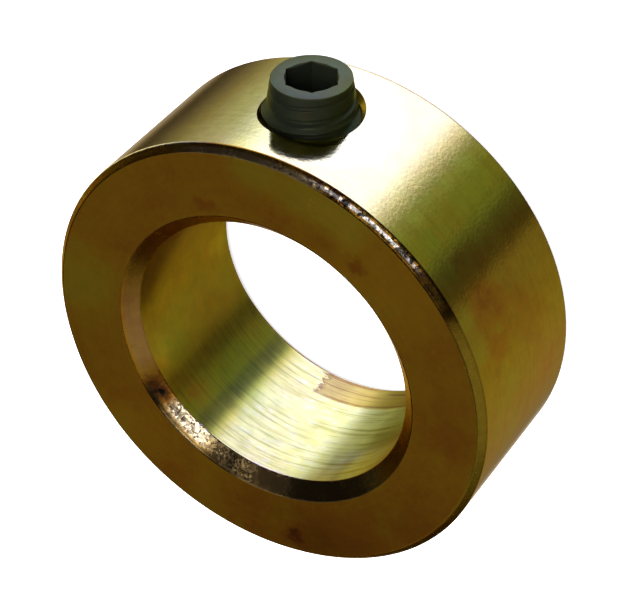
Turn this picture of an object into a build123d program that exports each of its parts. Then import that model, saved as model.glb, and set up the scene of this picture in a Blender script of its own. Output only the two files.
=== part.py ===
from build123d import *
import os
from math import tan, radians

# Shaft collar for a 25 mm shaft: a turned steel ring with one radial M8 set screw.
# Frame: origin at the centre of the bore, half way along it. +Z is the bore's axis,
# and the collar rests on its lower end face. +X points out along the set screw.
# Lengths are in millimetres.

# --- ring ---
bore_d = 25.0            # shaft size
outer_d = 40.0
width = 16.0
bore_chamfer = 1.2       # 45 degree lead-in at both ends of the bore
rim_chamfer = 0.55       # 45 degree break on the outer edge of the upper face
rim_chamfer_low = 1.1    # and the larger one on the outer edge of the lower face

# --- tapped hole for the set screw, at the major diameter of its thread ---
thread_d = 8.0           # M8
thread_pitch = 1.25
hole_d = thread_d
mouth_d = 9.2            # 90 degree countersink, measured on the crown of the ring
screw_z = 0.0            # height of its axis from the middle of the width

# --- set screw, hexagon socket with cup point ---
screw_len = 10.0
screw_d = 7.9            # major diameter of the external thread
screw_minor_d = thread_d - 1.2269 * thread_pitch   # both ends run down to the thread root
screw_top = 22.8         # distance of the socket end from the bore's axis
runout_len = 2.5         # two pitches of incomplete thread at the socket end, as a cone
runout_d = 7.2           # its diameter where the full thread starts
socket_af = 4.0          # across flats
socket_depth = 5.0
socket_lead = 0.25       # small countersink at the mouth of the socket
cup_d = 5.0
cup_land = 0.12
cup_angle = 118.0

os.makedirs("parts", exist_ok=True)


def ring():
    r0, r1, h = bore_d / 2, outer_d / 2, width / 2
    c, k, j = bore_chamfer, rim_chamfer, rim_chamfer_low
    with BuildPart() as p:
        with BuildSketch(Plane.XZ):
            with BuildLine():
                Polyline(
                    (r0, -h + c), (r0 + c, -h), (r1 - j, -h), (r1, -h + j),
                    (r1, h - k), (r1 - k, h), (r0 + c, h), (r0, h - c),
                    close=True,
                )
            make_face()
        revolve(axis=Axis.Z)
    # radial hole with its countersink, drawn as a half section and turned about its own axis
    rh, rm = hole_d / 2, mouth_d / 2
    x_in, x_out = r0 * 0.7, r1 + 2.0
    with BuildPart() as cutter:
        with BuildSketch(Plane.XY):
            with BuildLine():
                Polyline(
                    (x_in, 0), (x_in, rh), (r1 - (rm - rh), rh),
                    (x_out, rm + (x_out - r1)), (x_out, 0),
                    close=True,
                )
            make_face()
        revolve(axis=Axis.X)
    return p.part - cutter.part.moved(Location((0, 0, screw_z)))


def set_screw():
    r, rr, ri = screw_d / 2, screw_minor_d / 2, runout_d / 2
    x1 = screw_top
    xi = x1 - runout_len
    x0 = screw_top - screw_len
    rc = cup_d / 2
    rk = rc - cup_land
    cup_h = rk / tan(radians(cup_angle / 2))
    with BuildPart() as p:
        with BuildSketch(Plane.XY):
            with BuildLine():
                Polyline(
                    (x0 + cup_h, 0), (x0, rk), (x0, rc), (x0 + (r - rc), r),
                    (xi - (r - ri), r), (xi, ri), (x1, rr), (x1, 0),
                    close=True,
                )
            make_face()
        revolve(axis=Axis.X)
    body = p.part
    # hexagon socket: two of its flats face along the bore's axis
    tool_plane = Plane(origin=(x1, 0, 0), x_dir=(0, 0, 1), z_dir=(-1, 0, 0))
    with BuildPart() as sock:
        with BuildSketch(tool_plane):
            RegularPolygon(radius=socket_af / 2, side_count=6, major_radius=False, rotation=30)
        extrude(amount=socket_depth)
    # drill point below the hexagon, and the lead-in at its mouth
    rd = socket_af / 2
    xb = x1 - socket_depth
    with BuildPart() as drill:
        with BuildSketch(Plane.XY):
            with BuildLine():
                Polyline(
                    (xb + 0.5, 0), (xb + 0.5, rd), (xb, rd),
                    (xb - rd / tan(radians(60)), 0),
                    close=True,
                )
            make_face()
        revolve(axis=Axis.X)
    re = socket_af / 2 + socket_lead
    with BuildPart() as lead:
        with BuildSketch(Plane.XY):
            with BuildLine():
                Polyline(
                    (x1 + 0.1, 0), (x1 + 0.1, re + 0.1), (x1 - re, 0),
                    close=True,
                )
            make_face()
        revolve(axis=Axis.X)
    out = body - sock.part - drill.part - lead.part
    return out.moved(Location((0, 0, screw_z)))


parts = {"collar_ring": ring(), "set_screw": set_screw()}

for name, shape in parts.items():
    solids = shape.solids()
    print(name, "solids", len(solids), "volume_mm3", round(sum(s.volume for s in solids), 2))
    export_step(solids[0] if len(solids) == 1 else Compound(solids), f"parts/{name}.step")

gap = parts["collar_ring"].intersect(parts["set_screw"])
print("overlap_mm3", 0.0 if not gap else round(sum(s.volume for s in gap.solids()), 6))
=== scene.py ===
import math

import bpy
import numpy as np
from mathutils import Matrix, Vector


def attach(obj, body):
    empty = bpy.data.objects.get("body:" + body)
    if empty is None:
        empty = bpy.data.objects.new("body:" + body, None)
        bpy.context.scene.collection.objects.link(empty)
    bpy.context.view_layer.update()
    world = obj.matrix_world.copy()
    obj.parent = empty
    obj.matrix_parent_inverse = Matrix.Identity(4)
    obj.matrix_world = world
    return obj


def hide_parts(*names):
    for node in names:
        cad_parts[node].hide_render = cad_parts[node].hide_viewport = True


# Shaft collar: a turned ring, zinc plated and yellow chromated, with a black set screw.
# The row frame has +Z along the bore and +X out along the set screw. Lengths below are
# in millimetres until they are written to a mesh.

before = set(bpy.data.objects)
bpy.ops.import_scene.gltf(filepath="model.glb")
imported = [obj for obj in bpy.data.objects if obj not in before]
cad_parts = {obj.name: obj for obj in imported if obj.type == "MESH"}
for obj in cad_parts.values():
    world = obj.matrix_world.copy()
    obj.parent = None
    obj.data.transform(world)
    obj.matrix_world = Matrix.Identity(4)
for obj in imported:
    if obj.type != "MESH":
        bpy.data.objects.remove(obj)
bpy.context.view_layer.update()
MM = 0.001
TAU = 2.0 * math.pi

# ------------------------------------------------------------------ sizes, as in the solids
R_BORE, R_OUT, HALF_W = 12.5, 20.0, 8.0
C_BORE, C_RIM, C_RIM_LOW = 1.2, 0.55, 1.1
PITCH = 1.25
SCREW_TOP, SCREW_LEN = 22.8, 10.0
SCREW_TIP = SCREW_TOP - SCREW_LEN
R_CREST, R_ROOT = 3.95, 3.2335
RUNOUT, R_RUNOUT = 2.5, 3.6
R_MOUTH = 4.6
HEX_R, HEX_DEPTH, HEX_LEAD = 2.0, 5.0, 0.14
CUP_R, CUP_LAND = 2.5, 0.12
THREAD_PHASE = 0.92


def unit(v):
    v = np.asarray(v, float)
    return v / np.maximum(np.linalg.norm(v, axis=-1, keepdims=True), 1e-12)


# ------------------------------------------------------------------ thread form
def soft_min(a, b, k):
    h = np.clip(0.5 + 0.5 * (b - a) / k, 0.0, 1.0)
    return b * (1 - h) + a * h - k * h * (1 - h)


def soft_max(a, b, k):
    return -soft_min(-a, -b, k)


def thread_r(x, phi, crest, root, crest_half, k=0.05):
    """Radius of a right-hand 60 degree thread about +X; phi is the angle from +Y towards +Z."""
    v = x - THREAD_PHASE - PITCH * phi / TAU
    v = np.abs((v + PITCH / 2) % PITCH - PITCH / 2)
    flank = crest - (v - crest_half) / math.tan(math.radians(30))
    return soft_max(soft_min(flank, crest, k), root, k * 1.6)


def runout_r(x):
    """Cone that cuts the crests of the incomplete thread at the socket end."""
    d = SCREW_TOP - x
    return soft_max(R_ROOT + (R_RUNOUT - R_ROOT) * d / RUNOUT, R_RUNOUT + (d - RUNOUT), 0.06) - 0.01


def screw_r(x, phi):
    r = thread_r(x, phi, R_CREST, np.minimum(R_ROOT, runout_r(x) - 0.10), PITCH / 16)
    tip = CUP_R + (x - SCREW_TIP)
    return soft_min(soft_min(r, runout_r(x), 0.04), tip, 0.04)


def hole_r(x, phi):
    r = thread_r(x, phi, 4.02, 3.38, PITCH / 16 + 0.02)
    cone = R_MOUTH - (R_OUT - x)
    return soft_max(r, cone, 0.05)


# ------------------------------------------------------------------ mesh building
class Shell:
    """Vertices by ring, faces with a zone name, and a normal function for each zone."""

    def __init__(self):
        self.co, self.faces, self.zone = [], [], []
        self.zones, self.normal = [], {}

    def zone_id(self, name):
        if name not in self.zones:
            self.zones.append(name)
        return self.zones.index(name)

    def add(self, pts):
        start = len(self.co)
        self.co.extend([tuple(map(float, p)) for p in pts])
        return list(range(start, start + len(pts)))

    def quad(self, a, b, c, d, zone):
        f = []
        for i in (a, b, c, d):
            if i not in f:
                f.append(i)
        if len(f) >= 3:
            self.faces.append(f)
            self.zone.append(self.zone_id(zone))

    def strip(self, lower, upper, zone, closed=True):
        n = len(lower)
        for i in range(n if closed else n - 1):
            j = (i + 1) % n
            self.quad(lower[i], lower[j], upper[j], upper[i], zone)

    def build(self, name, materials, slots, merge=1e-5):
        co = np.array(self.co)
        key = np.round(co / merge).astype(np.int64)
        _, first, inv = np.unique(key, axis=0, return_index=True, return_inverse=True)
        inv = inv.reshape(-1)
        pts = co[first]
        faces, zones = [], []
        for f, z in zip(self.faces, self.zone):
            g = []
            for i in f:
                j = int(inv[i])
                if j not in g:
                    g.append(j)
            if len(g) < 3:
                continue
            p = pts[g]
            area = np.linalg.norm(sum(np.cross(p[k] - p[0], p[k + 1] - p[0]) for k in range(1, len(g) - 1)))
            if area < 1e-9:
                continue
            faces.append(g)
            zones.append(z)
        used = np.unique(np.concatenate([np.array(f) for f in faces]))
        back = -np.ones(len(pts), int)
        back[used] = np.arange(len(used))
        pts = pts[used]
        faces = [[int(back[i]) for i in f] for f in faces]
        me = bpy.data.meshes.new(name)
        me.from_pydata((pts * MM).tolist(), [], faces)
        for m in materials:
            me.materials.append(m)
        me.polygons.foreach_set("material_index", [slots[self.zones[z]] for z in zones])
        me.polygons.foreach_set("use_smooth", [True] * len(faces))
        loop_n = np.zeros((sum(len(f) for f in faces), 3))
        at = 0
        where, what, zz = [], [], []
        for f, z in zip(faces, zones):
            p = pts[f]
            c = p.mean(0)
            where.append(p + (c - p) * 0.03)
            zz.extend([z] * len(f))
        where = np.concatenate(where)
        zz = np.array(zz)
        for z in range(len(self.zones)):
            pick = zz == z
            if pick.any():
                loop_n[pick] = self.normal[self.zones[z]](where[pick])
        me.update()
        me.normals_split_custom_set(unit(loop_n).tolist())
        me.update()
        ob = bpy.data.objects.new(name, me)
        bpy.context.scene.collection.objects.link(ob)
        return ob


def radial_normal(sign):
    def f(p):
        n = p.copy()
        n[:, 2] = 0
        return sign * unit(n)
    return f


def field_normal(fn, sign):
    """Normal of the surface r = fn(x, phi) about the X axis."""
    def f(p):
        x, phi = p[:, 0], np.arctan2(p[:, 2], p[:, 1]) % TAU
        e = 2e-3
        r = fn(x, phi)
        rx = (fn(x + e, phi) - fn(x - e, phi)) / (2 * e)
        rp = (fn(x, phi + e) - fn(x, phi - e)) / (2 * e)
        er = np.stack([np.zeros_like(x), np.cos(phi), np.sin(phi)], 1)
        ep = np.stack([np.zeros_like(x), -np.sin(phi), np.cos(phi)], 1)
        ex = np.stack([np.ones_like(x), np.zeros_like(x), np.zeros_like(x)], 1)
        return sign * unit(er - ex * rx[:, None] - ep * (rp / np.maximum(r, 1e-6))[:, None])
    return f


def flat_normal(v):
    v = np.array(v, float)
    return lambda p: np.tile(v, (len(p), 1))


# ------------------------------------------------------------------ the ring
N_AROUND, N_PATCH = 272, 32
STEP = TAU / N_AROUND
HALF_PATCH = N_PATCH // 2


def ring_profile(rim):
    """Half profile above the middle, from the bore to the outer face, with rounded corners.
    Each point is (radius, z, normal_r, normal_z)."""
    corners = [
        ((R_BORE, 0.0), None),
        ((R_BORE, HALF_W - C_BORE), 0.14),
        ((R_BORE + C_BORE, HALF_W), 0.25),
        ((R_OUT - rim, HALF_W), 0.25),
        ((R_OUT, HALF_W - rim), 0.24),
        ((R_OUT, 0.0), None),
    ]
    segs = []
    for k in range(1, 5):
        p0, p, p1 = (np.array(corners[j][0]) for j in (k - 1, k, k + 1))
        rad = corners[k][1]
        d0, d1 = unit(p0 - p), unit(p1 - p)
        half = math.acos(float(np.clip(d0 @ d1, -1, 1))) / 2
        t = rad / math.tan(half)
        a, b = p + d0 * t, p + d1 * t
        centre = p + unit(d0 + d1) * rad / math.sin(half)
        arc = []
        na, nb = unit(a - centre), unit(b - centre)
        ang = math.acos(float(np.clip(na @ nb, -1, 1)))
        for i in range(5):
            w = i / 4
            n = (math.sin((1 - w) * ang) * na + math.sin(w * ang) * nb) / math.sin(ang)
            q = centre + n * rad
            arc.append((q[0], q[1], n[0], n[1]))
        segs.append(arc)
    return segs


def build_ring(mats, slots):
    sh = Shell()
    th = np.arange(N_AROUND) * STEP

    def circle(r, z):
        return sh.add(np.stack([r * np.cos(th), r * np.sin(th), np.full(N_AROUND, z)], 1))

    names = ["bore_edge", "face_edge_in", "face_edge_out", "rim_edge"]
    for side in (1, -1):
        tag = "up" if side > 0 else "dn"
        segs = ring_profile(C_RIM if side > 0 else C_RIM_LOW)
        rings = {}
        for name, arc in zip(names, segs):
            rings[name] = [circle(q[0], side * q[1]) for q in arc]
        order = lambda lo, hi, zone: sh.strip(lo, hi, zone) if side > 0 else sh.strip(hi, lo, zone)
        for name, arc in zip(names, segs):
            for i in range(4):
                order(rings[name][i + 1], rings[name][i], name + "_" + tag)

            def arc_normal(p, arc=arc, side=side):
                rr = np.hypot(p[:, 0], p[:, 1])
                q = np.array(arc)
                a = np.stack([rr, side * p[:, 2]], 1)
                d = unit(q[-1, :2] - q[0, :2])
                t = ((a - q[0, :2]) @ d) / np.linalg.norm(q[-1, :2] - q[0, :2])
                t = np.clip(t, 0, 1)[:, None]
                n2 = unit(q[0, 2:] * (1 - t) + q[-1, 2:] * t)
                er = p[:, :2] / rr[:, None]
                return np.stack([er[:, 0] * n2[:, 0], er[:, 1] * n2[:, 0], side * n2[:, 1]], 1)
            sh.normal[name + "_" + tag] = arc_normal
        # conical chamfers, with rows between the rounded corners
        for lo_name, hi_name, zone, rows in (("bore_edge", "face_edge_in", "bore_chamfer", 8),
                                             ("face_edge_out", "rim_edge", "rim_chamfer", 5)):
            a, b = segs[names.index(lo_name)][-1], segs[names.index(hi_name)][0]
            last = rings[lo_name][-1]
            for i in range(1, rows + 1):
                w = i / rows
                cur = rings[hi_name][0] if i == rows else circle(a[0] * (1 - w) + b[0] * w, side * (a[1] * (1 - w) + b[1] * w))
                order(cur, last, zone + "_" + tag)
                last = cur
            nr, nz = a[2], a[3]

            def cone_normal(p, nr=nr, nz=nz, side=side):
                rr = np.hypot(p[:, 0], p[:, 1])
                return np.stack([p[:, 0] / rr * nr, p[:, 1] / rr * nr, np.full(len(p), side * nz)], 1)
            sh.normal[zone + "_" + tag] = cone_normal
        # end face
        last = rings["face_edge_in"][-1]
        ra, rb = segs[1][-1][0], segs[2][0][0]
        for i in range(1, 11):
            w = i / 10
            cur = rings["face_edge_out"][0] if i == 10 else circle(ra * (1 - w) + rb * w, side * HALF_W)
            order(cur, last, "face_" + tag)
            last = cur
        sh.normal["face_" + tag] = flat_normal((0, 0, side))
        if side > 0:
            top_bore, top_rim = rings["bore_edge"][0], rings["rim_edge"][-1]
            z_bore_up, z_rim_up = segs[0][0][1], segs[3][-1][1]
        else:
            low_bore, low_rim = rings["bore_edge"][0], rings["rim_edge"][-1]
            z_bore_dn, z_rim_dn = -segs[0][0][1], -segs[3][-1][1]

    # cylinder walls, away from the tapped hole
    def wall(radius, low, top, z_lo, z_hi, zone, outward):
        rows = []
        for i in range(N_PATCH + 1):
            z = z_lo + (z_hi - z_lo) * i / N_PATCH
            rows.append(low if i == 0 else top if i == N_PATCH else circle(radius, z))
        for i in range(N_PATCH):
            for k in range(HALF_PATCH, N_AROUND - HALF_PATCH):
                a, b, c, d = rows[i][k], rows[i][(k + 1) % N_AROUND], rows[i + 1][(k + 1) % N_AROUND], rows[i + 1][k]
                if outward:
                    sh.quad(a, b, c, d, zone)
                else:
                    sh.quad(d, c, b, a, zone)
        # the patch's boundary, anticlockwise seen from outside (+Y towards +Z)
        ks = [k % N_AROUND for k in range(-HALF_PATCH, HALF_PATCH + 1)]
        edge = [rows[i][ks[-1]] for i in range(0, N_PATCH)]
        edge += [rows[N_PATCH][k] for k in reversed(ks[1:])]
        edge += [rows[i][ks[0]] for i in range(N_PATCH, 0, -1)]
        edge += [rows[0][k] for k in ks[:-1]]
        return edge

    out_edge = wall(R_OUT, low_rim, top_rim, z_rim_dn, z_rim_up, "rim", True)
    in_edge = wall(R_BORE, low_bore, top_bore, z_bore_dn, z_bore_up, "bore", False)
    sh.normal["rim"] = radial_normal(1)
    sh.normal["bore"] = radial_normal(-1)

    # tapped hole: a grid from its countersunk mouth to where it breaks into the bore
    def edge_angles(edge, radius):
        p = np.array([sh.co[i] for i in edge])
        s = radius * np.arctan2(p[:, 1], p[:, 0])
        a = np.unwrap(np.arctan2(p[:, 2], s))
        return s, p[:, 2], a

    s_o, z_o, phi_o = edge_angles(out_edge, R_OUT)
    s_i, z_i, phi_i = edge_angles(in_edge, R_BORE)
    phi_i += TAU * np.round((phi_o - phi_i).mean() / TAU)

    def on_cylinder(radius, phi, start):
        x = np.full(len(phi), float(start))
        for _ in range(200):
            r = hole_r(x, phi % TAU)
            x = 0.5 * x + 0.5 * np.sqrt(radius ** 2 - (r * np.cos(phi)) ** 2)
        return x

    x_m = on_cylinder(R_OUT, phi_o, 19.6)
    x_e = on_cylinder(R_BORE, phi_i, 12.2)
    rows_n = 132
    hole_rows = []
    for j in range(rows_n + 1):
        t = j / rows_n
        x = x_m * (1 - t) + x_e * t
        phi = phi_o * (1 - t) + phi_i * t
        r = hole_r(x, phi % TAU)
        hole_rows.append(sh.add(np.stack([x, r * np.cos(phi), r * np.sin(phi)], 1)))
    for a, b in zip(hole_rows[:-1], hole_rows[1:]):
        sh.strip(a, b, "tapped", True)
    sh.normal["tapped"] = field_normal(hole_r, -1)

    def patch(edge, s_edge, z_edge, radius, mouth, zone, outward, rings_n, power):
        pm = np.array([sh.co[i] for i in mouth])
        s_m, z_m = radius * np.arctan2(pm[:, 1], pm[:, 0]), pm[:, 2]
        last = mouth
        for j in range(1, rings_n + 1):
            w = (j / rings_n) ** power
            if j == rings_n:
                cur = edge
            else:
                s, z = s_m * (1 - w) + s_edge * w, z_m * (1 - w) + z_edge * w
                cur = sh.add(np.stack([radius * np.cos(s / radius), radius * np.sin(s / radius), z], 1))
            if outward:
                sh.strip(cur, last, zone)
            else:
                sh.strip(last, cur, zone)
            last = cur

    patch(out_edge, s_o, z_o, R_OUT, hole_rows[0], "rim", True, 14, 1.5)
    patch(in_edge, s_i, z_i, R_BORE, hole_rows[-1], "bore", False, 8, 1.3)
    return sh.build("collar_ring_finished", mats, slots)


# ------------------------------------------------------------------ the set screw
def build_screw(mats, slots):
    sh = Shell()
    m_around, per_pitch = 144, 24
    phi = np.arange(m_around) * TAU / m_around
    x1 = SCREW_TOP
    # the hexagon's flats face along Z (phi = 90 degrees) and every 60 degrees from there
    off = (phi - math.pi / 2 + math.pi / 6) % (math.pi / 3) - math.pi / 6
    hexr = HEX_R / np.cos(off)

    def ring(x, r):
        x = np.broadcast_to(np.asarray(x, float), phi.shape)
        r = np.broadcast_to(np.asarray(r, float), phi.shape)
        return sh.add(np.stack([x, r * np.cos(phi), r * np.sin(phi)], 1))

    def cone(nx, nr):
        n = math.hypot(nx, nr)

        def f(p):
            a = np.arctan2(p[:, 2], p[:, 1])
            return np.stack([np.full(len(p), nx / n), nr / n * np.cos(a), nr / n * np.sin(a)], 1)
        return f

    def hex_dir(p):
        a = np.arctan2(p[:, 2], p[:, 1])
        k = np.round((a - math.pi / 2) / (math.pi / 3))
        return math.pi / 2 + k * math.pi / 3

    def hex_normal(p):
        c = hex_dir(p)
        return np.stack([np.zeros(len(p)), -np.cos(c), -np.sin(c)], 1)

    def lead_normal(p):
        a = np.arctan2(p[:, 2], p[:, 1])
        return unit(np.stack([np.ones(len(p)), -np.cos(a), -np.sin(a)], 1))

    # socket, from the drill point up
    xb = x1 - HEX_DEPTH
    rd = HEX_R - 0.03
    tip = sh.add([(xb - rd / math.tan(math.radians(60)), 0, 0)])[0]
    rows = [ring(xb - (rd - r) / math.tan(math.radians(60)), r) for r in (0.35, 0.8, 1.3, 1.7, rd)]
    for i in range(m_around):
        sh.quad(tip, rows[0][i], rows[0][(i + 1) % m_around], tip, "drill_point")
    for a, b in zip(rows[:-1], rows[1:]):
        sh.strip(b, a, "drill_point")
    sh.normal["drill_point"] = cone(math.sin(math.radians(60)), -math.cos(math.radians(60)))
    low = ring(xb, hexr)
    sh.strip(low, rows[-1], "ledge")
    sh.normal["ledge"] = flat_normal((1, 0, 0))
    mouth = np.maximum(HEX_R + HEX_LEAD, hexr + 0.03)
    depth = mouth - hexr
    last = low
    for t in (0.25, 0.5, 0.75, 1.0):
        cur = ring(xb * (1 - t) + (x1 - depth) * t, hexr)
        sh.strip(cur, last, "socket_wall")
        last = cur
    sh.normal["socket_wall"] = hex_normal
    mid = ring(x1 - depth / 2, (hexr + mouth) / 2)
    top = ring(x1, mouth)
    sh.strip(mid, last, "socket_lead")
    sh.strip(top, mid, "socket_lead")
    sh.normal["socket_lead"] = lead_normal
    last = top
    r_rim = screw_r(np.full(phi.shape, x1), phi)
    for t in (0.12, 0.35, 0.6, 0.85, 1.0):
        cur = ring(x1, mouth * (1 - t) + r_rim * t)
        sh.strip(cur, last, "end_land")
        last = cur
    def land_normal(p):
        r = np.hypot(p[:, 1], p[:, 2])
        k = math.tan(math.radians(10)) * np.clip((r - 2.2) / 1.0, 0, 1) / np.maximum(r, 1e-6)
        return unit(np.stack([np.ones(len(p)), k * p[:, 1], k * p[:, 2]], 1))

    sh.normal["end_land"] = land_normal

    # threaded body: rows follow the helix, and run out flat at both ends
    n_rows = int(SCREW_LEN / PITCH * per_pitch) + per_pitch + 4
    grid = []
    for j in range(n_rows + 1):
        x = SCREW_TIP - PITCH + (j / per_pitch) * PITCH + PITCH * phi / TAU
        x = np.clip(x, SCREW_TIP, SCREW_TOP)
        grid.append(ring(x, screw_r(x, phi)))
    for j in range(n_rows):
        a, b = grid[j], grid[j + 1]
        for i in range(m_around - 1):
            sh.quad(a[i], a[i + 1], b[i + 1], b[i], "thread")
        up = grid[min(j + per_pitch, n_rows)], grid[min(j + 1 + per_pitch, n_rows)]
        sh.quad(a[-1], up[0][0], up[1][0], b[-1], "thread")
    sh.normal["thread"] = field_normal(screw_r, 1)

    # cup point
    r_tip = screw_r(np.full(phi.shape, SCREW_TIP), phi)
    rk = CUP_R - CUP_LAND
    slope = math.tan(math.radians(59))
    outer = ring(SCREW_TIP, r_tip)
    inner = ring(SCREW_TIP, rk)
    sh.strip(inner, outer, "tip_land")
    sh.normal["tip_land"] = flat_normal((-1, 0, 0))
    rows = [inner] + [ring(SCREW_TIP + (rk - r) / slope, r) for r in (1.8, 1.2, 0.6, 0.25)]
    for a, b in zip(rows[:-1], rows[1:]):
        sh.strip(b, a, "cup")
    apex = sh.add([(SCREW_TIP + rk / slope, 0, 0)])[0]
    for i in range(m_around):
        sh.quad(rows[-1][(i + 1) % m_around], rows[-1][i], apex, apex, "cup")
    sh.normal["cup"] = cone(-math.sin(math.radians(59)), -math.cos(math.radians(59)))
    return sh.build("set_screw_finished", mats, slots)


# ------------------------------------------------------------------ materials
class Tree:
    """Short calls for building a node tree. Sizes in the shaders are millimetres."""

    def __init__(self, nt):
        self.nt = nt

    def node(self, kind, **props):
        n = self.nt.nodes.new(kind)
        for k, v in props.items():
            setattr(n, k, v)
        return n

    def put(self, socket, v):
        if isinstance(v, bpy.types.NodeSocket):
            self.nt.links.new(v, socket)
        else:
            socket.default_value = v

    def math(self, op, *a, clamp=False):
        n = self.node("ShaderNodeMath", operation=op, use_clamp=clamp)
        for i, v in enumerate(a):
            self.put(n.inputs[i], v)
        return n.outputs[0]

    def vec(self, op, *a):
        n = self.node("ShaderNodeVectorMath", operation=op)
        for i, v in enumerate(a):
            self.put(n.inputs["Scale"] if op == "SCALE" and i == 1 else n.inputs[i], v)
        return n.outputs["Value"] if op in ("LENGTH", "DISTANCE", "DOT_PRODUCT") else n.outputs["Vector"]

    def xyz(self, v):
        n = self.node("ShaderNodeSeparateXYZ")
        self.put(n.inputs[0], v)
        return n.outputs

    def join(self, x, y, z):
        n = self.node("ShaderNodeCombineXYZ")
        for i, v in enumerate((x, y, z)):
            self.put(n.inputs[i], v)
        return n.outputs[0]

    def noise(self, v, scale, detail=2.0, rough=0.5, distort=0.0, color=False):
        n = self.node("ShaderNodeTexNoise", noise_dimensions="3D")
        self.put(n.inputs["Vector"], v)
        n.inputs["Scale"].default_value = scale
        n.inputs["Detail"].default_value = detail
        n.inputs["Roughness"].default_value = rough
        n.inputs["Distortion"].default_value = distort
        return n.outputs["Color" if color else "Fac"]

    def step(self, v, a, b, lo=0.0, hi=1.0, kind="SMOOTHSTEP"):
        n = self.node("ShaderNodeMapRange", interpolation_type=kind)
        self.put(n.inputs["Value"], v)
        for k, x in (("From Min", a), ("From Max", b), ("To Min", lo), ("To Max", hi)):
            self.put(n.inputs[k], x)
        return n.outputs["Result"]

    def ramp(self, v, stops, mode="RGB", interp="EASE"):
        n = self.node("ShaderNodeValToRGB")
        r = n.color_ramp
        r.color_mode = mode
        r.interpolation = interp
        while len(r.elements) < len(stops):
            r.elements.new(0.5)
        for e, (p, c) in zip(r.elements, stops):
            e.position = p
            e.color = (*c, 1.0)
        self.put(n.inputs["Fac"], v)
        return n.outputs["Color"]

    def mix(self, fac, a, b, mode="MIX"):
        n = self.node("ShaderNodeMix", data_type="RGBA", blend_type=mode)
        self.put(n.inputs["Factor"], fac)
        self.put(n.inputs["A"], (*a, 1.0) if isinstance(a, tuple) else a)
        self.put(n.inputs["B"], (*b, 1.0) if isinstance(b, tuple) else b)
        return n.outputs["Result"]

    def bump(self, height, microns, normal=None):
        n = self.node("ShaderNodeBump")
        n.inputs["Strength"].default_value = 1.0
        n.inputs["Distance"].default_value = microns * 1e-6
        self.put(n.inputs["Height"], height)
        if normal is not None:
            self.put(n.inputs["Normal"], normal)
        return n.outputs["Normal"]


def glitter(t, p, cell, amount, normal=None):
    """Tiny facets: a random tilt for each cell, on top of the given normal."""
    v = t.node("ShaderNodeTexVoronoi", feature="F1")
    t.put(v.inputs["Vector"], p)
    v.inputs["Scale"].default_value = 1.0 / cell
    tilt = t.vec("SUBTRACT", v.outputs["Color"], (0.5, 0.5, 0.5))
    n = normal if normal is not None else t.node("ShaderNodeNewGeometry").outputs["Normal"]
    return t.vec("NORMALIZE", t.vec("ADD", n, t.vec("SCALE", tilt, amount)))


def node_tree(name):
    m = bpy.data.materials.new(name)
    m.use_nodes = True
    nt = m.node_tree
    nt.nodes.clear()
    out = nt.nodes.new("ShaderNodeOutputMaterial")
    bsdf = nt.nodes.new("ShaderNodeBsdfPrincipled")
    nt.links.new(bsdf.outputs[0], out.inputs[0])
    return m, Tree(nt), bsdf


# colour of the chromate film by its thickness, from red brown to green
FILM = [
    (0.00, (0.34, 0.09, 0.018)),
    (0.18, (0.52, 0.20, 0.018)),
    (0.34, (0.60, 0.31, 0.020)),
    (0.50, (0.60, 0.41, 0.030)),
    (0.62, (0.57, 0.46, 0.034)),
    (0.76, (0.48, 0.47, 0.036)),
    (0.90, (0.34, 0.41, 0.040)),
    (1.00, (0.50, 0.46, 0.160)),
]


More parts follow.
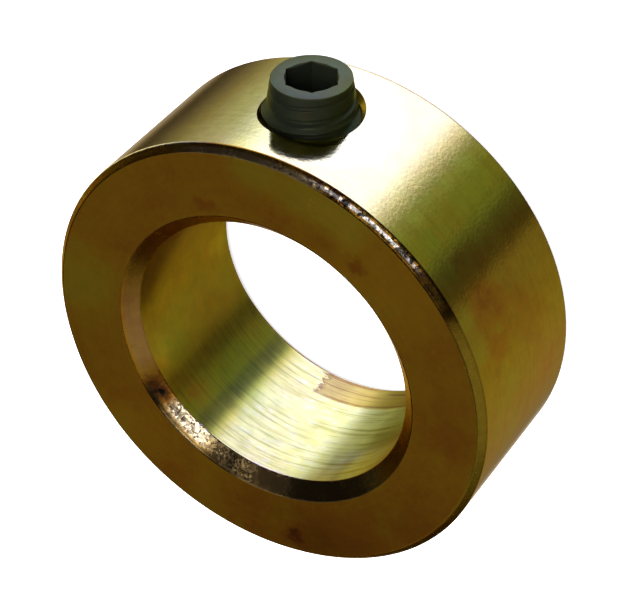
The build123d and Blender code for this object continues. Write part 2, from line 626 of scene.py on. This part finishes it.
def chromate(name, film, spots=(), value=1.0, rough=0.22, coat=0.8, coat_rough=0.3, aniso=0.0,
             along="z", streak=0.0, lines=0.15, grain=(0.35, 8.0), film_spread=0.35, mottle=0.22, bare=0.0, facets=None,
             edge=(0.75, 0.52, 0.16), extra=None):
    """Zinc plated steel under a yellow chromate film.
    film: mean thickness, 0 to 1. spots: (x, y, z, radius, film change, brightness change).
    along: direction across the turning marks. streak: depth of the turning marks in microns."""
    m, t, b = node_tree(name)
    co = t.node("ShaderNodeTexCoord").outputs["Object"]
    p = t.vec("SCALE", co, 1000.0)
    x, y, z = t.xyz(p)
    r = t.vec("LENGTH", t.join(x, y, 0.0))
    u = {"z": z, "r": r, "c": t.math("ADD", r, z), "k": t.math("SUBTRACT", r, z)}[along]

    # film thickness: wide drifts, smaller clouds, and chosen spots
    wide = t.noise(p, 0.16, 2.0, 0.5, 0.6)
    cloud = t.noise(t.vec("ADD", p, (31.0, 7.0, 3.0)), 0.55, 3.0, 0.6)
    fine = t.noise(t.vec("ADD", p, (5.0, 17.0, 11.0)), 2.6, 2.0, 0.55)
    th = t.math("MULTIPLY_ADD", wide, film_spread * 1.6, film - film_spread * 0.8)
    th = t.math("MULTIPLY_ADD", cloud, film_spread * 0.9, t.math("ADD", th, -film_spread * 0.45))
    th = t.math("MULTIPLY_ADD", fine, 0.10, t.math("ADD", th, -0.05))
    val = t.math("MULTIPLY_ADD", t.noise(t.vec("ADD", p, (2.0, 9.0, 23.0)), 0.9, 4.0, 0.62), mottle * 2.0, value - mottle)
    if spots:
        warp_a = t.vec("SUBTRACT", t.noise(p, 0.35, 1.0, 0.5, 0.0, True), (0.5, 0.5, 0.5))
        warp_b = t.vec("SUBTRACT", t.noise(p, 1.3, 2.0, 0.6, 0.0, True), (0.5, 0.5, 0.5))
        warp_p = t.vec("ADD", p, t.vec("ADD", t.vec("SCALE", warp_a, 2.0), t.vec("SCALE", warp_b, 1.6)))
    for sx, sy, sz, rad, d_film, d_val in spots:
        f = t.step(t.vec("DISTANCE", warp_p, (sx, sy, sz)), 0.15 * rad, 1.35 * rad, 1.0, 0.0)
        if d_film:
            th = t.math("MULTIPLY_ADD", f, d_film, th)
        if d_val:
            val = t.math("MULTIPLY_ADD", f, d_val, val)
    col = t.ramp(th, FILM)
    if bare:
        col = t.mix(bare, col, (0.50, 0.47, 0.46))
    marks = t.noise(t.join(t.math("MULTIPLY", x, 0.12), t.math("MULTIPLY", y, 0.12), t.math("MULTIPLY", u, 3.2)), 1.0, 4.0, 0.66)
    if lines:
        val = t.math("MULTIPLY_ADD", marks, lines * 2.0, t.math("ADD", val, -lines))
    turn = t.math("MULTIPLY", t.math("ARCTAN2", y, x), math.degrees(1.0))
    opp = t.math("MULTIPLY", t.math("ARCTAN2", t.math("MULTIPLY", y, -1.0), t.math("MULTIPLY", x, -1.0)), math.degrees(1.0))
    hooks = {"turn": turn, "opp": opp, "cloud": cloud, "t": t, "b": b, "p": p, "x": x, "y": y, "z": z, "r": r, "u": u, "val": val, "col": col, "marks": marks, "fine": fine}
    if extra:
        extra(hooks)
    vm = t.vec("SCALE", hooks["col"], hooks["val"])
    t.put(b.inputs["Base Color"], vm)
    b.inputs["Metallic"].default_value = 1.0
    t.put(b.inputs["Roughness"], hooks.get("rough") or t.math("MULTIPLY_ADD", cloud, 0.14, rough - 0.07))
    b.inputs["Specular Tint"].default_value = (*edge, 1.0)
    b.inputs["Coat Weight"].default_value = coat
    b.inputs["Coat Roughness"].default_value = coat_rough
    if aniso:
        b.inputs["Anisotropic"].default_value = aniso
        b.inputs["Anisotropic Rotation"].default_value = 0.25
        tan = t.node("ShaderNodeTangent", direction_type="RADIAL", axis="Z")
        t.put(b.inputs["Tangent"], tan.outputs[0])
    size, depth = grain
    n = None
    if "lean" in hooks:
        n = t.vec("NORMALIZE", t.vec("ADD", t.node("ShaderNodeNewGeometry").outputs["Normal"], hooks["lean"]))
    if facets:
        n = glitter(t, p, facets[0], hooks.get("facet_amount") or facets[1])
    n = t.bump(t.noise(p, 1.0 / size, 2.0, 0.55), depth, n)
    if streak:
        n = t.bump(marks, streak, n)
    t.put(b.inputs["Normal"], n)
    t.put(b.inputs["Coat Normal"], n)
    return m


SPOTS_FACE = [
    (13.7, 5.0, 8.0, 0.8, -0.16, -0.06), (12.9, -8.4, 8.0, 1.0, -0.15, -0.22), (-17.4, -2.8, 8.0, 0.9, -0.20, -0.20),
    (2.1, 17.0, 8.0, 5.0, 0.16, 0.02), (18.6, 0.8, 8.0, 2.6, 0.18, 0.0), (18.1, -2.7, 8.0, 2.8, 0.18, 0.02),
    (17.2, -6.8, 8.0, 3.6, 0.22, 0.10), (-18.0, -5.0, 8.0, 3.0, -0.04, -0.20), (-16.4, -9.2, 8.0, 2.4, -0.03, -0.10), (12.5, -11.0, 8.0, 6.0, 0.03, 0.12), (14.3, -5.5, 8.0, 1.6, -0.06, -0.12),
    (0.3, -17.1, 8.0, 4.2, -0.08, -0.05), (-12.0, 11.8, 8.0, 6.5, -0.03, 0.13), (-12.8, 14.6, 8.0, 3.0, 0.10, 0.06),
    (-17.0, -2.0, 8.0, 7.0, -0.07, -0.18), (-14.5, -9.5, 8.0, 7.0, -0.08, -0.18), (-10.0, -15.0, 8.0, 5.5, -0.06, -0.10),
]
SPOTS_OUT = [
    (9.9, -17.4, 3.1, 2.0, -0.20, 0.04), (6.5, -18.9, 3.7, 1.6, -0.20, 0.04), (10.0, -17.3, 7.0, 1.4, 0.18, 0.02),
    (7.8, -18.4, 6.9, 1.4, 0.16, 0.02), (14.9, -13.3, 5.2, 1.3, 0.16, -0.05), (13.2, -15.0, 5.5, 1.2, 0.12, -0.05),
    (13.4, -14.9, 3.4, 1.0, -0.26, -0.04), (14.9, -13.3, -3.1, 4.5, 0.10, 0.0), (-0.3, -20.0, -3.0, 2.4, -0.10, 0.05),
    (4.4, -19.5, 4.7, 0.9, -0.10, -0.05), (14.2, 14.1, -2.7, 3.6, 0.08, -0.05), (-2.3, -19.9, 3.0, 2.2, 0.10, 0.05),
    (12.2, -15.8, 2.4, 1.8, -0.03, -0.03), (12.4, -15.7, -3.0, 2.2, -0.06, -0.04), (9.3, -17.7, -3.7, 2.6, 0.04, 0.04),
    (10.6, -17.0, 0.0, 8.0, -0.10, 0.0),
]
SPOTS_BORE = [
    (-4.5, 11.7, 1.5, 3.4, 0.08, 0.0), (-5.1, 11.4, 5.4, 1.5, -0.06, 0.20), (-9.6, 8.1, -0.6, 4.0, 0.16, -0.05),
    (-0.4, 12.5, -4.9, 3.4, -0.08, 0.05), (-9.3, 8.4, 4.6, 1.6, -0.25, 0.0), (-10.0, -7.5, -0.2, 2.2, 0.10, -0.05),
    (-2.2, 12.3, 1.0, 10.0, -0.14, 0.0), (2.6, 12.2, 6.0, 2.6, -0.06, -0.14), (-1.4, 12.4, 5.6, 2.6, -0.04, -0.14),
    (-5.9, 11.0, 6.0, 1.3, -0.14, 0.12), (-1.1, 12.5, -5.6, 1.6, 0.10, 0.25), (-5.3, 11.3, 3.5, 2.6, 0.16, -0.02),
]
SPOTS_LEAD = [(-7.5, 10.9, 7.3, 1.6, -0.2, -0.64), (-8.4, 10.0, 7.4, 1.3, 0.0, -0.45), (-3.6, 13.2, 7.3, 2.4, 0.0, 0.1)]


def between(t, v, a0, a1, a2, a3):
    """1 from a1 to a2, fading to 0 at a0 and a3."""
    return t.math("MULTIPLY", t.step(v, a0, a1), t.step(v, a2, a3, 1.0, 0.0))


def bore_detail(h):
    """Dark turning marks, strongest low in the bore, and a worn tan patch with a ragged end. Painted light too:
    brightness bands and paler film by angle paint the highlight and its dark edge, and the far side is painted paler
    and bluer as a reflection.
    """
    t = h["t"]
    low = between(t, h["opp"], -62.0, -44.0, 40.0, 70.0)
    # painted highlight and shade: brighter and darker bands by angle around the bore
    for a, gain in (((-180.0, -170.0, -94.0, -82.0), -0.10), ((-84.0, -70.0, -57.0, -53.0), 0.16), ((-58.0, -54.0, -50.0, -46.0), -0.16), ((-38.0, -34.0, -32.0, -27.0), -0.20), ((-34.0, -20.0, 12.0, 22.0), 0.32), ((2.0, 13.0, 22.0, 34.0), 0.60), ((-39.0, -35.0, -31.0, -27.0), -0.22)):
        h["val"] = t.math("MULTIPLY_ADD", between(t, h["opp"], *a), gain, h["val"])
    # painted highlight: paler film where the key light's highlight falls, stronger towards its far end
    pale = between(t, h["opp"], -28.0, -22.0, 60.0, 80.0)
    h["col"] = t.mix(t.math("MULTIPLY", pale, t.step(h["opp"], 2.0, 18.0, 0.22, 0.60)), h["col"], (0.50, 0.50, 0.165))
    # painted reflection: a paler, bluer far side, brighter higher up and darker low down
    far = between(t, h["opp"], 16.0, 32.0, 48.0, 62.0)
    upper = t.step(h["z"], 1.5, 4.0)
    h["col"] = t.mix(t.math("MULTIPLY", far, 0.85), h["col"], t.mix(upper, (0.48, 0.50, 0.13), (0.47, 0.54, 0.36)))
    h["val"] = t.math("MULTIPLY_ADD", t.math("MULTIPLY", between(t, h["opp"], 27.0, 36.0, 48.0, 62.0), upper), 0.45, h["val"])
    h["val"] = t.math("MULTIPLY_ADD", t.math("MULTIPLY", between(t, h["opp"], 17.0, 21.0, 27.0, 32.0), upper), -0.34, h["val"])
    h["val"] = t.math("MULTIPLY_ADD", t.math("MULTIPLY", far, t.math("SUBTRACT", 1.0, upper)), -0.25, h["val"])
    # painted light: a yellower film at the highlight's near edge
    h["col"] = t.mix(t.math("MULTIPLY", between(t, h["opp"], -46.0, -38.0, -30.0, -26.0), 0.55), h["col"], (0.48, 0.44, 0.012))
    fleck = t.noise(t.join(t.math("MULTIPLY", h["x"], 0.7), t.math("MULTIPLY", h["y"], 0.7), t.math("MULTIPLY", h["z"], 2.0)), 1.0, 4.0, 0.7)
    # mottled flecks, kept to the lit stretch as part of the painted highlight
    lit = between(t, h["opp"], -28.0, -22.0, 14.0, 24.0)
    h["col"] = t.mix(t.math("MULTIPLY", lit, t.step(fleck, 0.50, 0.62, 0.0, 0.6)), h["col"], (0.52, 0.46, 0.05))
    h["col"] = t.mix(t.math("MULTIPLY", lit, t.step(fleck, 0.48, 0.36, 0.0, 0.35)), h["col"], (0.57, 0.52, 0.16))
    h["val"] = t.math("MULTIPLY_ADD", t.math("SUBTRACT", h["marks"], 0.5), t.math("MULTIPLY_ADD", low, 0.75, 0.15), h["val"])
    dark = t.math("MULTIPLY", t.step(h["marks"], 0.47, 0.39), t.math("MULTIPLY_ADD", pale, 0.45, t.math("MULTIPLY_ADD", low, 0.22, 0.03)))
    h["col"] = t.mix(dark, h["col"], (0.34, 0.30, 0.026))
    rag = t.noise(t.join(t.math("MULTIPLY", h["x"], 1.1), t.math("MULTIPLY", h["y"], 1.1), t.math("MULTIPLY", h["z"], 2.6)), 1.0, 4.0, 0.7)
    side = t.math("ADD", h["y"], t.math("MULTIPLY_ADD", rag, 2.6, -1.3))
    part = t.math("MULTIPLY", t.step(t.math("MULTIPLY_ADD", rag, 0.5, h["z"]), -3.4, -3.9), t.step(h["x"], -4.0, -6.0))
    f = t.math("MULTIPLY", t.step(side, 2.2, 1.8), part)
    line = t.math("MULTIPLY", t.step(t.math("ABSOLUTE", t.math("ADD", side, -1.95)), 0.24, 0.04), part)
    h["col"] = t.mix(f, h["col"], (0.36, 0.25, 0.026))
    h["col"] = t.mix(t.math("MULTIPLY", t.math("MULTIPLY", f, 0.75), t.step(h["marks"], 0.50, 0.42)), h["col"], (0.20, 0.09, 0.01))
    h["col"] = t.mix(t.math("MULTIPLY", line, 0.75), h["col"], (0.16, 0.06, 0.01))
    # painted light: a yellower film on the side by the screw, to offset the bluish reflection of the key light there
    screw_side = t.math("MAXIMUM", t.step(h["opp"], 100.0, 125.0), t.step(h["opp"], -125.0, -145.0))
    h["col"] = t.mix(t.math("MULTIPLY", screw_side, 0.5), h["col"], (0.50, 0.40, 0.03))


def out_detail(h):
    """Painted highlight: a paler, bluer film colour across the crown where the key light's highlight falls, beside the
    set screw, and a painted greener band at its dark edge.
    """
    t = h["t"]
    crown = between(t, h["turn"], -31.0, -25.0, 3.0, 17.0)
    beyond = between(t, h["turn"], 6.0, 13.0, 20.0, 28.0)
    farther = between(t, h["turn"], 18.0, 28.0, 36.0, 44.0)
    h["col"] = t.mix(t.math("MAXIMUM", t.math("MULTIPLY", crown, 0.52), t.math("MULTIPLY", farther, 0.45)), h["col"], (0.56, 0.49, 0.085))
    h["col"] = t.mix(t.math("MULTIPLY", beyond, 0.75), h["col"], (0.58, 0.47, 0.17))
    # painted reflection: a greener band where the green edge of the key light reflects, brighter higher up
    dip = between(t, h["turn"], -53.0, -48.5, -46.0, -43.0)
    h["col"] = t.mix(t.math("MULTIPLY", dip, 0.45), h["col"], (0.44, 0.47, 0.05))
    h["val"] = t.math("MULTIPLY_ADD", dip, t.step(h["z"], 3.0, -2.0, 0.10, 0.26), h["val"])
    # around the tapped hole: a painted highlight in paler film colour, and the surface falls slightly towards the mouth
    away = t.join(0.0, h["y"], h["z"])
    dist = t.vec("LENGTH", away)
    side = t.step(h["x"], 14.0, 16.0)
    near = t.math("MULTIPLY", side, t.step(dist, 8.2, 5.8))
    h["col"] = t.mix(t.math("MULTIPLY", near, 0.45), h["col"], (0.52, 0.50, 0.11))
    h["lean"] = t.vec("SCALE", t.vec("NORMALIZE", away), t.math("MULTIPLY", near, t.step(h["y"], 2.2, -1.0, -0.020, -0.065)))


def rim_detail(h):
    """Painted glints on one stretch of the rim break, a silver colour and bright beads along its middle, darker on both
    sides of it; painted shade in a dark band beside it, and painted light, shade and reflection by angle round the
    rest.
    """
    t = h["t"]
    up = t.step(h["z"], 0.0, 1.0)
    # painted glints: silver colour and bright beads along the middle of the break on this stretch, darker on both sides
    # of the middle
    glint = t.math("MULTIPLY", up, between(t, h["turn"], -47.0, -41.0, -19.0, -7.0))
    # painted shade: a dark band next to the glints
    dark = t.math("MULTIPLY", up, between(t, h["turn"], -61.0, -55.0, -46.5, -42.0))
    middle = t.step(t.math("ABSOLUTE", t.math("SUBTRACT", h["u"], 11.98)), 0.10, 0.30, 1.0, 0.0)
    beads = t.step(t.noise(h["p"], 1.5, 1.0, 0.5), 0.40, 0.56, 0.20, 1.15)
    h["col"] = t.mix(t.math("MULTIPLY", t.math("MULTIPLY", glint, middle), 0.95), h["col"], (0.60, 0.59, 0.58))
    shine = t.math("SUBTRACT", t.math("MULTIPLY", beads, t.math("MULTIPLY_ADD", middle, 0.85, 0.15)), 1.0)
    h["val"] = t.math("MULTIPLY_ADD", t.math("MULTIPLY", glint, shine), 0.95, h["val"])
    h["val"] = t.math("SUBTRACT", h["val"], t.math("MULTIPLY", dark, 0.88))
    # painted shade: a darker, warmer tone on the lower stretch, and painted light further round
    lower = between(t, h["turn"], -125.0, -100.0, -62.0, -55.0)
    h["col"] = t.mix(t.math("MULTIPLY", lower, 0.85), h["col"], (0.50, 0.355, 0.03))
    h["val"] = t.math("MULTIPLY_ADD", lower, -0.14, h["val"])
    h["val"] = t.math("MULTIPLY_ADD", between(t, h["turn"], -160.0, -130.0, -110.0, -98.0), 0.50, h["val"])
    # painted reflection: a grey band on the inner part of the break near the top
    grey = t.math("MULTIPLY", up, between(t, h["turn"], -20.0, -12.0, 14.0, 28.0))
    inner = t.step(h["u"], 12.25, 11.95)
    h["col"] = t.mix(t.math("MULTIPLY", grey, t.math("MULTIPLY", inner, 0.60)), h["col"], (0.55, 0.50, 0.32))
    h["val"] = t.math("MULTIPLY_ADD", grey, t.math("MULTIPLY_ADD", inner, 0.60, -0.30), h["val"])
    # painted glints: paler colour and bright beads on the outer edge of the break
    outer = t.math("MULTIPLY", t.math("MULTIPLY", up, between(t, h["turn"], 10.0, 22.0, 70.0, 110.0)), t.step(h["u"], 12.28, 12.46))
    h["col"] = t.mix(t.math("MULTIPLY", outer, 0.9), h["col"], (0.64, 0.60, 0.36))
    h["val"] = t.math("MULTIPLY_ADD", t.math("MULTIPLY", outer, beads), 0.35, h["val"])
    h["facet_amount"] = t.math("MULTIPLY_ADD", glint, 0.20, 0.04)


def lead_detail(h):
    """Torn metal low on the bore break with painted glints on it, a painted black band of shade next to it, and a
    painted pinkish highlight on the far side, which stays smooth.
    """
    t = h["t"]
    up = t.step(h["z"], 0.0, 1.0)
    # painted glints: a light colour and bright blobs on the torn stretch
    torn = t.math("MULTIPLY", up, between(t, h["opp"], -50.0, -44.0, -30.0, -24.0))
    # painted shade: the black band, with lighter specks in it
    black = t.math("MULTIPLY", up, between(t, h["opp"], -31.0, -24.0, 40.0, 66.0))
    speck = t.math("MULTIPLY", up, between(t, h["opp"], -16.0, -7.0, 4.0, 14.0))
    # painted highlight: a pinkish tone on the far side
    pink = between(t, h["opp"], -116.0, -78.0, -70.0, -60.0)
    low_edge = t.math("MULTIPLY", t.math("MULTIPLY", up, between(t, h["opp"], -62.0, -54.0, -24.0, -14.0)), t.math("MULTIPLY", t.step(h["u"], 20.8, 21.4), t.step(h["u"], 21.66, 21.50, 0.45, 1.0)))
    to_face = t.math("MULTIPLY", t.step(h["u"], 21.0, 21.6), between(t, h["opp"], -190.0, -185.0, -60.0, -54.0))
    h["col"] = t.mix(t.math("MULTIPLY", t.math("MULTIPLY", pink, 0.24), t.math("SUBTRACT", 1.0, to_face)), h["col"], (0.80, 0.56, 0.34))
    h["val"] = t.math("MULTIPLY_ADD", to_face, 0.24, h["val"])
    h["col"] = t.mix(t.math("MULTIPLY", torn, 0.80), h["col"], (0.82, 0.72, 0.52))
    h["col"] = t.mix(t.math("MULTIPLY", black, 0.50), h["col"], (0.50, 0.44, 0.26))
    strand = t.math("MULTIPLY", t.step(t.math("ABSOLUTE", t.math("SUBTRACT", h["u"], 20.25)), 0.42, 0.15), t.step(h["opp"], -31.0, -36.0))
    h["val"] = t.math("SUBTRACT", h["val"], t.math("MULTIPLY", torn, t.math("MULTIPLY_ADD", strand, 0.34, 0.04)))
    tear = t.noise(t.join(t.math("MULTIPLY", h["x"], 1.7), t.math("MULTIPLY", h["y"], 1.7), t.math("MULTIPLY", h["u"], 3.4)), 1.0, 2.0, 0.6)
    blob = t.step(tear, 0.40, 0.58, -0.26, 0.14)
    h["val"] = t.math("MULTIPLY_ADD", torn, blob, h["val"])
    h["val"] = t.math("MULTIPLY_ADD", t.math("MULTIPLY", up, between(t, h["opp"], -40.0, -36.0, -30.0, -26.0)), 0.24, h["val"])
    depth = t.math("MULTIPLY_ADD", speck, -1.25, t.step(h["opp"], 4.0, 18.0, 0.44, 0.32))
    depth = t.math("MULTIPLY_ADD", between(t, h["opp"], -27.0, -23.0, -14.0, -9.0), 0.22, depth)
    h["val"] = t.math("SUBTRACT", h["val"], t.math("MULTIPLY", black, depth))
    h["col"] = t.mix(t.math("MULTIPLY", low_edge, 0.85), h["col"], (0.58, 0.32, 0.03))
    h["val"] = t.math("MULTIPLY", h["val"], t.math("MULTIPLY_ADD", low_edge, -0.80, 1.0))
    h["facet_amount"] = t.math("MULTIPLY_ADD", t.math("MULTIPLY", t.math("MAXIMUM", torn, t.math("MULTIPLY", black, 0.6)), t.math("SUBTRACT", 1.0, low_edge)), 0.20, 0.03)


mat_out = chromate("chromate_outside", 0.52, SPOTS_OUT, value=1.0, rough=0.11, coat=0.35, coat_rough=0.12, grain=(0.30, 10.0), along="z", streak=0.8, film_spread=0.24, extra=out_detail)
mat_face = chromate("chromate_end_face", 0.31, SPOTS_FACE, value=1.10, rough=0.30, coat=0.1, coat_rough=0.3, grain=(0.5, 5.0), film_spread=0.18, mottle=0.10, along="r", streak=0.8, lines=0.10)
mat_bore = chromate("chromate_bore", 0.62, SPOTS_BORE, value=0.96, rough=0.31, coat=0.15, coat_rough=0.4, aniso=0.9, grain=(0.3, 4.0), along="z", streak=6.0, lines=0.0, film_spread=0.24, extra=bore_detail)
mat_rim = chromate("chromate_rim_break", 0.31, (), value=1.0, rough=0.26, coat=0.1, coat_rough=0.3, grain=(0.3, 5.0), along="k", streak=1.5, facets=(0.24, 0.1), extra=rim_detail)
mat_lead = chromate("chromate_bore_break", 0.30, SPOTS_LEAD, value=0.85, rough=0.26, coat=0.15, coat_rough=0.3, grain=(0.3, 5.0), along="c", streak=3.0, facets=(0.19, 0.1), extra=lead_detail)
mat_tap = chromate("chromate_tapped", 0.48, (), value=0.7, rough=0.30, coat=0.2, coat_rough=0.3, grain=(0.2, 5.0))


def black_oxide(name):
    m, t, b = node_tree(name)
    co = t.node("ShaderNodeTexCoord").outputs["Object"]
    p = t.vec("SCALE", co, 1000.0)
    x, y, z = t.xyz(p)
    cloud = t.noise(p, 0.9, 3.0, 0.6)
    fine = t.noise(p, 6.0, 3.0, 0.6)
    col = t.ramp(t.math("MULTIPLY_ADD", fine, 0.3, t.math("MULTIPLY", cloud, 0.7)), [
        (0.25, (0.024, 0.022, 0.015)), (0.50, (0.026, 0.030, 0.019)), (0.75, (0.025, 0.037, 0.024))])
    # painted highlight: the end land is made lighter; blue is cut on the land and on the -Y side to offset the bluish
    # key light
    land = t.math("MULTIPLY_ADD", t.step(x, 22.66, 22.77), 1.3, 1.0)
    t.put(b.inputs["Base Color"], t.vec("MULTIPLY", t.vec("SCALE", col, land), t.join(1.0, t.step(x, 22.66, 22.77, 1.0, 0.92), t.math("MULTIPLY", t.step(x, 22.66, 22.77, 1.0, 0.62), t.step(y, -1.6, -3.6, 1.0, 0.45)))))
    b.inputs["Metallic"].default_value = 0.8
    t.put(b.inputs["Roughness"], t.math("MULTIPLY_ADD", fine, 0.2, 0.34))
    b.inputs["IOR"].default_value = 1.4
    b.inputs["Specular IOR Level"].default_value = 0.30
    b.inputs["Specular Tint"].default_value = (0.8, 0.8, 0.0, 1.0)
    t.put(b.inputs["Normal"], t.bump(fine, 9.0))
    return m


mat_black = black_oxide("black_oxide")

ring_slots = {"rim": 0, "bore": 2, "tapped": 5}
for tag in ("up", "dn"):
    ring_slots.update({f"bore_edge_{tag}": 4, f"face_edge_in_{tag}": 4, f"face_edge_out_{tag}": 3, f"rim_edge_{tag}": 3,
                       f"bore_chamfer_{tag}": 4, f"rim_chamfer_{tag}": 3, f"face_{tag}": 1})
ring = build_ring([mat_out, mat_face, mat_bore, mat_rim, mat_lead, mat_tap], ring_slots)
screw = build_screw([mat_black], {k: 0 for k in ("drill_point", "ledge", "socket_wall", "socket_lead", "end_land", "thread", "tip_land", "cup")})

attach(ring, "ring")
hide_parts("collar_ring")
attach(screw, "screw")
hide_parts("set_screw")

# ------------------------------------------------------------------ floor
me = bpy.data.meshes.new("floor")
S = 3.0
me.from_pydata([(-S, -S, -HALF_W * MM), (S, -S, -HALF_W * MM), (S, S, -HALF_W * MM), (-S, S, -HALF_W * MM)], [], [(0, 1, 2, 3)])
floor = bpy.data.objects.new("floor", me)
bpy.context.scene.collection.objects.link(floor)
fm, ft, fb = node_tree("floor_paper")
t_co = ft.node("ShaderNodeTexCoord").outputs["Object"]
ft.put(fb.inputs["Base Color"], ft.ramp(ft.noise(t_co, 900.0, 3.0, 0.6), [(0.3, (0.85, 0.85, 0.85)), (0.7, (0.88, 0.88, 0.88))]))
fb.inputs["Roughness"].default_value = 0.9
fb.inputs["Specular IOR Level"].default_value = 0.0
fb.inputs["Emission Color"].default_value = (1.0, 1.0, 1.0, 1.0)
fb.inputs["Emission Strength"].default_value = 0.7
floor.visible_diffuse = False
me.materials.append(fm)
floor.visible_glossy = False

# ------------------------------------------------------------------ light
world = bpy.data.worlds.new("studio")
bpy.context.scene.world = world
world.use_nodes = True
world.cycles.sampling_method = "NONE"
world.node_tree.nodes.clear()
w = Tree(world.node_tree)
w_out = w.node("ShaderNodeOutputWorld")
w_bg = w.node("ShaderNodeBackground")
w.put(w_out.inputs[0], w_bg.outputs[0])
wx, wy, wz = w.xyz(w.node("ShaderNodeTexCoord").outputs["Generated"])
DEG = math.degrees(1.0)
w_az = w.math("MULTIPLY", w.math("ARCTAN2", wy, wx), DEG)
w_el = w.math("MULTIPLY", w.math("ARCSINE", wz), DEG)

# Soft boxes of light, far away. Each has an azimuth window and an elevation window in degrees:
# dark to the first number, full from the second to the third, dark again from the fourth.
BOXES = [
    # the key light, its softer right and green left skirts
    ((-36, -12, 32, 65), (-68, -60, -31, -25), (2.30, 2.60, 12.5)),
    ((-31, -10, 40, 58), (-27, -20, -6, 0), (0.8, 0.85, 1.2)),
    ((25, 45, 54, 113), (-75, -62, -30, -20), (0.66, 0.79, 1.25)),
    ((-68, -52, -40, -20), (-75, -62, -30, -20), (0.14, 0.20, 0.12)),
    ((-46, -35, -24, -12), (-75, -62, -30, -20), (0.11, 0.18, 0.35)),
    # warm side
    ((145, 184, 272, 283), (-75, -62, -30, -16), (0.145, 0.130, 0.085)),
    ((145, 200, 205, 275), (-75, -62, -30, -16), (0.165, 0.145, 0.085)),
    ((110, 127, 162, 174), (-75, -62, -30, -20), (0.37, 0.335, 0.24)),
    ((112, 124, 152, 168), (-44, -37, -18, -6), (0.55, 0.52, 0.40)),
    ((84, 96, 120, 136), (-26, -14, 6, 20), (0.06, 0.055, 0.04)),
    ((66, 76, 104, 116), (-36, -31, -14, -5), (1.5, 1.45, 1.2)),
    # below and above the horizon, all round
    ((-400, -390, 390, 400), (-95, -91, -30, -20), (0.080, 0.078, 0.07)),
    ((-400, -390, 390, 400), (-25, -15, 91, 95), (0.016, 0.015, 0.014)),
    ((-150, -135, 45, 75), (-24, -16, -6, 4), (0.30, 0.29, 0.27)),
    # upper lights
    ((175, 232, 262, 286), (0, 20, 46, 60), (0.30, 0.28, 0.25)),
    ((112, 132, 176, 200), (24, 37, 52, 62), (0.155, 0.146, 0.13)),
    ((-44, -36, -20, -10), (47, 52, 60, 66), (7.0, 6.8, 7.0)),
    ((-84, -68, -44, -36), (44, 50, 60, 66), (2.2, 2.1, 2.0)),
    ((-48, -36, -6, 10), (37, 42, 47, 51), (0.85, 0.85, 0.9)),
    ((-400, -390, 390, 400), (64, 76, 91, 95), (0.35, 0.35, 0.35)),
]
total = None
for (a0, a1, a2, a3), (e0, e1, e2, e3), color in BOXES:
    mid = 0.5 * (a1 + a2)
    parts = []
    if a3 - a0 < 700:
        d = w.math("WRAP", w.math("SUBTRACT", w_az, mid), 180.0, -180.0)
        parts += [w.step(d, a0 - mid, a1 - mid), w.step(d, a2 - mid, a3 - mid, 1.0, 0.0)]
    if e0 > -91:
        parts.append(w.step(w_el, float(e0), float(e1)))
    if e3 < 91:
        parts.append(w.step(w_el, float(e2), float(e3), 1.0, 0.0))
    f = parts[0]
    for q in parts[1:]:
        f = w.math("MULTIPLY", f, q)
    c = w.vec("SCALE", color, f)
    total = c if total is None else w.vec("ADD", total, c)
w.put(w_bg.inputs["Color"], total)
w_bg.inputs["Strength"].default_value = 1.0


def area(name, az, el, dist, size, watts):
    light = bpy.data.lights.new(name, "AREA")
    light.shape = "DISK"
    light.size = size
    light.energy = watts
    ob = bpy.data.objects.new(name, light)
    bpy.context.scene.collection.objects.link(ob)
    a, e = math.radians(az), math.radians(el)
    ob.location = (dist * math.cos(e) * math.cos(a), dist * math.cos(e) * math.sin(a), dist * math.sin(e))
    ob.rotation_euler = (-Vector(ob.location)).to_track_quat("-Z", "Y").to_euler()
    ob.visible_glossy = False
    return ob


area("floor_light_front", -25, 58, 0.9, 0.55, 14.0)
area("floor_light_top", 60, 80, 0.9, 0.8, 9.0)
bpy.context.scene.cycles.caustics_reflective = False

# ------------------------------------------------------------------ camera, at the photograph's viewing angle
cam = bpy.data.cameras.new("camera")
cam.sensor_width = 36.0
cam.sensor_fit = "HORIZONTAL"
cam.lens = 132.5382
cam.clip_start = 0.01
cam.clip_end = 20.0
cam_ob = bpy.data.objects.new("camera", cam)
bpy.context.scene.collection.objects.link(cam_ob)
right, up, back = (0.000937, -0.865928, -0.500168), (0.791827, 0.306118, -0.528491), (0.610745, -0.395551, 0.685951)
cam_ob.matrix_world = Matrix((
    (right[0], up[0], back[0], 0.1173129),
    (right[1], up[1], back[1], -0.0756340),
    (right[2], up[2], back[2], 0.1309136),
    (0, 0, 0, 1),
))
bpy.context.scene.camera = cam_ob
bpy.context.scene.view_settings.view_transform = "Standard"
